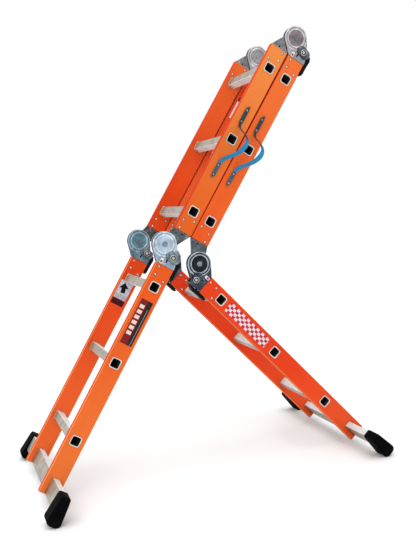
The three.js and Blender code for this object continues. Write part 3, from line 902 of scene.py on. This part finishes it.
def lever_shape():
    """The lock lever: an oval plate outside each cheek, joined past the boss."""
    bm = bmesh.new()
    far = Vector((math.cos(PLATE_TILT), math.sin(PLATE_TILT))) * PLATE_REACH
    seat = PLATE_END - PLATE_DISH
    for way in (-1, 1):
        low, high = sorted((way * PLATE_START, way * PLATE_END))
        ends = [(PLATE_RADIUS, (BOSS[0] + side * far.x, BOSS[1] + side * far.y), 36)
                for side in (1, -1)]
        plate = hull_plate(bm, low, high, ends)
        rim = [e for e in creases(edges_of(plate)) if all(at(v.co.y, way * PLATE_END) for v in e.verts)]
        round_off(bm, rim, 0.0016, 3)
        outer = flats_at(bm, way * PLATE_END, way)
        bmesh.ops.inset_region(bm, faces=outer, thickness=0.0035, depth=0.0)
        outer = [f for f in outer if f.is_valid]
        verts = list({v for f in outer for v in f.verts})
        bmesh.ops.translate(bm, vec=(0, -way * PLATE_DISH, 0), verts=verts)
        rise = [(0, 0.0022), (0.0024, 0.0021), (0.0046, 0.0014), (0.0056, 0.0004), (0.0060, -0.0016),
                (0, -0.0016)]
        head = turned(bm, rise, 24, BOSS, way * seat, way)
        use_finish(head, 1)
        rise = [(0.0060, 0.0002), (0.0088, 0.0002), (0.0092, 0.0008), (0.0104, 0.0009),
                (0.0112, 0.0002), (0.0112, -0.0008), (0.0060, -0.0008), (0.0060, 0.0002)]
        washer = turned(bm, rise, 32, BOSS, way * seat, way)
        # Inside the washer hole is painted black as shade.
        for face in faces_of(washer):
            middle = face.calc_center_median()
            out = math.hypot(middle.x - BOSS[0], middle.z - BOSS[1])
            face.material_index = 2 if out < WASHER_HOLE else 1
    bridge = box(bm, (0.0706, -PLATE_START, 0.017), (0.0742, PLATE_START, 0.041))
    round_off(bm, edges_of(bridge), 0.0012, 2)
    shank = [(0, -PLATE_START), (0.005, -PLATE_START), (0.005, PLATE_START), (0, PLATE_START)]
    turned(bm, shank, 20, BOSS)
    half = CHEEK_INSIDE - 0.001
    pawl = box(bm, (-0.0172, -half, -0.0035), (0.004, half, 0.0035))
    lean = Matrix.Rotation(-math.atan2(BOSS[1], BOSS[0]), 4, "Y")
    bmesh.ops.transform(bm, matrix=Matrix.Translation((BOSS[0], 0, BOSS[1])) @ lean, verts=pawl)
    round_off(bm, edges_of(pawl), 0.0006, 1)
    return bm


def grip_shape():
    """The moulded grip down the rail edge, swelling at its head."""
    bm = bmesh.new()
    half = PLATE_START - GAP
    stations = [(0.0300, 0.0020, 0.0090), (0.0340, 0.0020, 0.0122), (0.0390, 0.0020, 0.0146),
                (0.0450, 0.0020, 0.0152), (0.0530, 0.0020, 0.0147), (0.0640, 0.0020, 0.0136),
                (0.0760, 0.0020, 0.0130), (0.0880, 0.0020, 0.0128), (0.0980, 0.0022, 0.0130),
                (0.1040, 0.0028, 0.0124), (0.1062, 0.0040, 0.0100)]
    box(bm, (EDGE, -half, stations[0][0]), (EDGE + 0.01, half, stations[-1][0]))
    for height, _, _ in stations[1:-1]:
        cut(bm, (0, 0, height), (0, 0, 1))
    for height, near, far in stations:
        for vert in bm.verts:
            if at(vert.co.z, height):
                vert.co.x = EDGE + (near if vert.co.x < EDGE + 0.005 else far)
    round_off(bm, creases(bm.edges, math.radians(45)), 0.0026, 3)
    return bm


LABEL_THICK = 0.00025


def sticker_shape(low, high, corner, y, way):
    """A thin label on the web at y, with rounded corners."""
    bm = bmesh.new()
    y0, y1 = sorted((y, y + way * LABEL_THICK))
    flat = box(bm, (low[0], y0, low[1]), (high[0], y1, high[1]))
    round_off(bm, along_edges(flat, 1), corner, 3)
    return bm


sticker_print = lock_sticker()


def add_hinge(name, outer, inner):
    """The front and back hinges that join two sections."""
    outer_place = PLACES[outer]
    inner_place = PLACES[inner] if name == "12" else far_place(PLACES[inner])
    for word, way in SIDES.items():
        end = f"{name}_{word}"
        here = on_rail(outer_place, word)
        body, lever = f"section_{outer}", f"lever_{end}"
        stand(fork_shape(), f"pressed_fork_{end}", here, (*HINGE_REFLECTION_LOOKS[name, word], painted_shade_and_print_black), body,
              (f"hinge_{end}_outer_leaf",))
        stand(pin_shape(), f"hinge_rivet_{end}", here, (pin_steel,), body,
              (f"hinge_{end}_pivot_pin",))
        stand(leaf_shape(), f"pressed_leaf_{end}", on_rail(inner_place, word),
              (LEAF_REFLECTION_LOOKS[name], painted_shade_and_print_black), f"section_{inner}", (f"hinge_{end}_inner_leaf",))
        stand(lever_shape(), f"lever_plates_{end}", here, (LEVER_REFLECTION_LOOKS[name], rivet_steel, painted_shade_and_print_black),
              lever, (f"hinge_{end}_lock_lever",))
        stand(grip_shape(), f"lever_handle_{end}", here, (grip_black,), lever,
              (f"hinge_{end}_lever_grip",), smooth=50)
        bm = sticker_shape((0.0115, 0.0475), (0.0225, 0.0670), 0.004, way * FACE, way)
        stand(bm, f"lock_sticker_{end}", here, (sticker_print,), body)


# --- Feet ---

def foot_bar_shape():
    bm = bmesh.new()
    low = (SPREAD - BAR_HALF, -BAR_END, LEG_END - BAR_TALL)
    bar = box(bm, low, (SPREAD + BAR_HALF, BAR_END, LEG_END))
    round_off(bm, along_edges(bar, 1), 0.003, 3)
    # Top and bottom faces take the tread finish, painted light.
    for face in bm.faces:
        face.material_index = int(abs(face.normal.z) > 0.8)
    return bm


def boot_shape(way):
    """A boot with a rounded sole, its open end towards the rail."""
    bm = bmesh.new()
    low, high = sorted((way * BOOT_NEAR, way * BOOT_FAR))
    circles = [(SOLE_RADIUS, (SPREAD + side * SOLE_ACROSS, SOLE_ALONG), 36) for side in (-1, 1)]
    heights = (BOOT_TOP, BOOT_TOP + BOOT_SHOULDER)
    corners = [(SPREAD + side * half, height) for side in (-1, 1)
               for half, height in zip(BOOT_HALVES, heights)]
    hull_plate(bm, low, high, circles, corners)
    round_off(bm, creases(along_edges(bm.verts, 1), 0.6), 0.006, 4)
    rims = creases(bm.edges, 1.2)
    outer = [e for e in rims if abs(e.verts[0].co.y) > BOOT_FAR - 0.001]
    inner = [e for e in rims if abs(e.verts[0].co.y) < BOOT_NEAR + 0.001]
    round_off(bm, outer, 0.007, 5)
    round_off(bm, [e for e in inner if e.is_valid], 0.004, 3)
    mouth = [f for f in bm.faces if f.normal.y * way < -0.99]
    bmesh.ops.inset_region(bm, faces=mouth, thickness=0.0025, depth=0.0)
    mouth = [f for f in mouth if f.is_valid]
    verts = list({v for f in mouth for v in f.verts})
    bmesh.ops.translate(bm, vec=(0, way * 0.0015, 0), verts=verts)
    return bm


def level_off(bm, place):
    """Flattens what of a boot would be under the ground."""
    ground = place.inverted()
    point = ground @ Vector((0, 0, 0))
    normal = (ground.to_3x3() @ Vector((0, 0, 1))).normalized()
    geom = list(bm.verts) + list(bm.edges) + list(bm.faces)
    bmesh.ops.bisect_plane(bm, geom=geom, dist=1e-7, plane_co=point, plane_no=normal,
                           clear_inner=True)
    bmesh.ops.holes_fill(bm, edges=[e for e in bm.edges if e.is_boundary])


def add_feet(number):
    """A foot bar and its two boots."""
    place = PLACES[number]
    body = f"section_{number}"
    stand(foot_bar_shape(), f"foot_tube_{number}", place, (mill, tread), body,
          (f"foot_bar_{number}",))
    for word, way in SIDES.items():
        bm = boot_shape(way)
        level_off(bm, place)
        stand(bm, f"rubber_boot_{number}_{word}", place, (rubber,), body, (f"boot_{number}_{word}",),
              smooth=50)


# --- Carry straps ---

STRAP_WIDTH = 0.018
STRAP_THICK = 0.0026
STRAP_SAG = 0.25  # sideways for each length outward
STRAP_NEAR = 0.0019  # middle of the band off the rail where it lies flat
STRAP_LINE = [(STRAP_NEAR, 0.570), (STRAP_NEAR, 0.550), (STRAP_NEAR, 0.520), (0.008, 0.505),
              (0.030, 0.491), (0.065, 0.474), (0.091, 0.456), (0.102, 0.436), (0.095, 0.414),
              (0.070, 0.395), (0.035, 0.380), (0.009, 0.366), (STRAP_NEAR, 0.350),
              (STRAP_NEAR, 0.328), (STRAP_NEAR, 0.312)]
GATHERS = ((0.425, 0.045, 0.5), (0.38, -0.03, 0.3))  # start, length and share of the width
SLEEVES = ((0.292, 0.362), (0.512, 0.590))
SLEEVE_FACE = OUTER + 0.0046
SLEEVE_HALF = 0.0068
SLEEVE_POINT = 0.0035
SLEEVE_TAPER = 0.014


def smooth_line(points, steps=6):
    """A smooth run through the points."""
    points = [Vector((0, -(OUTER + out), z)) for out, z in points]
    run = []
    for i in range(len(points) - 1):
        before = points[max(i - 1, 0)]
        after = points[min(i + 2, len(points) - 1)]
        start, end = points[i], points[i + 1]
        reach = (end - start).length / 3
        one = start + (end - before).normalized() * reach
        two = end - (after - start).normalized() * reach
        run += interpolate_bezier(start, one, two, end, steps + 1)[:-1]
    run.append(points[-1])
    for point in run:
        point.y = min(point.y, -(OUTER + STRAP_NEAR))
    return run


def strap_shape():
    """The band: one edge drawn along its line, woven coordinates kept with it."""
    bm = bmesh.new()
    weave = bm.verts.layers.float_vector.new("weave")
    line = smooth_line(STRAP_LINE)
    half = STRAP_WIDTH / 2
    travelled = 0.0
    columns = (-half, -half / 3, half / 3, half)
    row = [bm.verts.new((across, line[0].y, line[0].z)) for across in columns]
    edges = [bm.edges.new(pair) for pair in zip(row, row[1:])]
    for vert, across in zip(row, columns):
        vert[weave] = (0, across, 0)
    for last, point in zip(line, line[1:]):
        travelled += (point - last).length
        grown = bmesh.ops.extrude_edge_only(bm, edges=edges)["geom"]
        row = sorted(only(BMVert, grown), key=lambda v: v.co.x)
        edges = only(BMEdge, grown)
        bmesh.ops.translate(bm, vec=point - last, verts=row)
        for vert, across in zip(row, columns):
            vert[weave] = (travelled, across, 0)
    for vert in bm.verts:
        gathered = sum(min(max((vert.co.z - start) / length, 0), 1) * share
                       for start, length, share in GATHERS)
        vert.co.x *= 1 - gathered
        vert.co.x += STRAP_SAG * -(vert.co.y + OUTER)
        vert.co.y -= 0.0004 * (1 - (vert[weave].y / half) ** 2)
    bmesh.ops.recalc_face_normals(bm, faces=bm.faces)
    return bm


def add_strap(number, turn):
    """A band on the front rail, its riveted ends under sleeves."""
    place = PLACES[number] @ turn
    body = f"section_{number}"
    bm = strap_shape()
    band = stand(bm, f"carry_band_{number}", place, (strap_blue,), body,
                 (f"carry_strap_{number}",))
    skin = band.modifiers.new("thickness", "SOLIDIFY")
    skin.thickness = STRAP_THICK
    skin.offset = 0
    bevel = band.modifiers.new("soft edges", "BEVEL")
    bevel.width = 0.0008
    bevel.segments = 2
    for index, (low, high) in enumerate(SLEEVES):
        bm = bmesh.new()
        weave = bm.verts.layers.float_vector.new("weave")
        sides = [(side * SLEEVE_HALF, z) for side in (-1, 1)
                 for z in (low + SLEEVE_TAPER, high - SLEEVE_TAPER)]
        tips = [(-SLEEVE_POINT, low), (SLEEVE_POINT, high)]
        hull_plate(bm, -SLEEVE_FACE, -(OUTER + 0.0002), [], sides + tips)
        for height in [low + (high - low) * i / 8 for i in range(1, 8)]:
            cut(bm, (0, 0, height), (0, 0, 1))
        round_off(bm, creases(along_edges(bm.verts, 2)), 0.0016, 3)
        for vert in bm.verts:
            vert[weave] = (vert.co.z, vert.co.x, 0)
        # The first sleeve takes the copy in painted light, the second the copy in painted shade.
        cloth = strap_end_lit if index == 0 else strap_end_shaded
        stand(bm, f"strap_sleeve_{number}_{'ab'[index]}", place, (cloth,), body)
        bm = bmesh.new()
        for height in (low + SLEEVE_TAPER, high - 0.018):
            add_rivet(bm, 0, height, -SLEEVE_FACE, -1)
        stand(bm, f"strap_rivets_{number}_{'ab'[index]}", place, (strap_steel, painted_shade_and_print_black), body)


# --- Labels ---

def add_label(name, number, word, facing, low, high, corner, finish):
    """A label on one web of a rail. facing is 1 outward, -1 inward."""
    way = SIDES[word]
    y = way * (OUTER if facing > 0 else INSIDE)
    bm = sticker_shape(low, high, corner, y, way * facing)
    stand(bm, name, PLACES[number], (finish,), f"section_{number}")


def add_arrow(number, word, middle, foot, tilt, finish):
    """A plain arrow on a label on the inner web, pointing towards the hinge."""
    way = SIDES[word]
    y0, y1 = sorted((way * (INSIDE - LABEL_THICK), way * (INSIDE - 0.00045)))
    bm = bmesh.new()
    box(bm, (-0.009, y0, -0.022), (0.009, y1, 0))
    hull_plate(bm, y0, y1, [], [(-0.020, -0.020), (0.020, -0.020), (0, -0.042)])
    turn = Matrix.Translation((middle, 0, foot)) @ Matrix.Rotation(math.radians(tilt), 4, "Y")
    bmesh.ops.transform(bm, matrix=turn, verts=bm.verts)
    stand(bm, f"label_arrow_{number}", PLACES[number], (finish,), f"section_{number}")


# --- The ladder ---

for number in (1, 2, 3, 4):
    add_section(number)
for number in (1, 4):
    add_feet(number)
add_hinge("12", 1, 2)
add_hinge("23", 3, 2)
add_hinge("34", 4, 3)

add_strap(2, Matrix.Translation((SPREAD, 0, 0)))
add_strap(3, Matrix.Translation((SPREAD - 0.008, 0, SPAN - 0.002)) @ Matrix.Diagonal((1, 1, -1, 1)))

add_label("label_two_bands", 1, "front", 1, (0.016, 0.206), (0.062, 0.378), 0.0012, two_band_label())
add_label("label_checks", 4, "front", 1, (0.017, 0.190), (0.058, 0.405), 0.0012, checker_tape())
add_label("label_direction", 1, "back", -1, (0.009, 0.166), (0.062, 0.267), 0.002,
          plain_label("grey label", (0.42, 0.42, 0.47), (0.05, 0.006, 0.008), (0.242, 0.2426),
                      (0.55, 0.55, 0.60), 0.222))
add_label("label_strip", 3, "back", -1, (0.014, 0.186), (0.026, 0.281), 0.001,
          plain_label("white strip", (0.62, 0.56, 0.52), (0.03, 0.02, 0.02), (0.2046, 0.2040),
                      (0.75, 0.68, 0.64), 0.29))
add_arrow(1, "back", 0.037, 0.215, 12, painted_shade_and_print_black)


# --- Floor, light and camera ---

def add_floor():
    bm = bmesh.new()
    bmesh.ops.create_grid(bm, x_segments=1, y_segments=1, size=40)
    mesh = bpy.data.meshes.new("floor")
    bm.to_mesh(mesh)
    bm.free()
    floor = show("floor", mesh)
    made = Finish("pale floor", (0.9, 0.9, 0.9), 0.9)
    grain = made.grain(3, 2)
    made.paint(made.mix(grain, (0.76, 0.76, 0.76), (0.78, 0.78, 0.78)))
    mesh.materials.append(made.material)


def add_lamp(name, where, aim, size, watts):
    lamp = bpy.data.lights.new(name, "AREA")
    lamp.shape = "SQUARE"
    lamp.size = size
    lamp.energy = watts
    item = show(name, lamp)
    item.location = where
    item.rotation_euler = (Vector(aim) - Vector(where)).to_track_quat("-Z", "Y").to_euler()


def add_sun(name, towards, strength, spread):
    sun = bpy.data.lights.new(name, "SUN")
    sun.energy = strength
    sun.angle = math.radians(spread)
    item = show(name, sun)
    item.rotation_euler = Vector(towards).to_track_quat("Z", "Y").to_euler()


CAMERA_PLACE = (-0.88396, -2.75611, 1.02668)
CAMERA_TURN = (83.689, 4.250, -20.078)  # degrees
CAMERA_LENS = 49.15


def add_camera():
    camera = bpy.data.cameras.new("camera")
    camera.sensor_width = 36
    camera.lens = CAMERA_LENS
    item = show("camera", camera)
    item.location = CAMERA_PLACE
    item.rotation_euler = [math.radians(a) for a in CAMERA_TURN]
    bpy.context.scene.camera = item


add_floor()
add_sun("high sun", (-0.1, -0.1, 1.0), 1.5, 70)
add_lamp("front softbox", (-2.6, -3.4, 2.4), (0, 0, 0.8), 1.6, 18)
add_camera()
world = bpy.data.worlds.new("studio")
bpy.context.scene.world = world
world.use_nodes = True
world.node_tree.nodes["Background"].inputs["Color"].default_value = (1, 1, 1, 1)
world.node_tree.nodes["Background"].inputs["Strength"].default_value = 1.0
bpy.context.scene.view_settings.view_transform = "Standard"
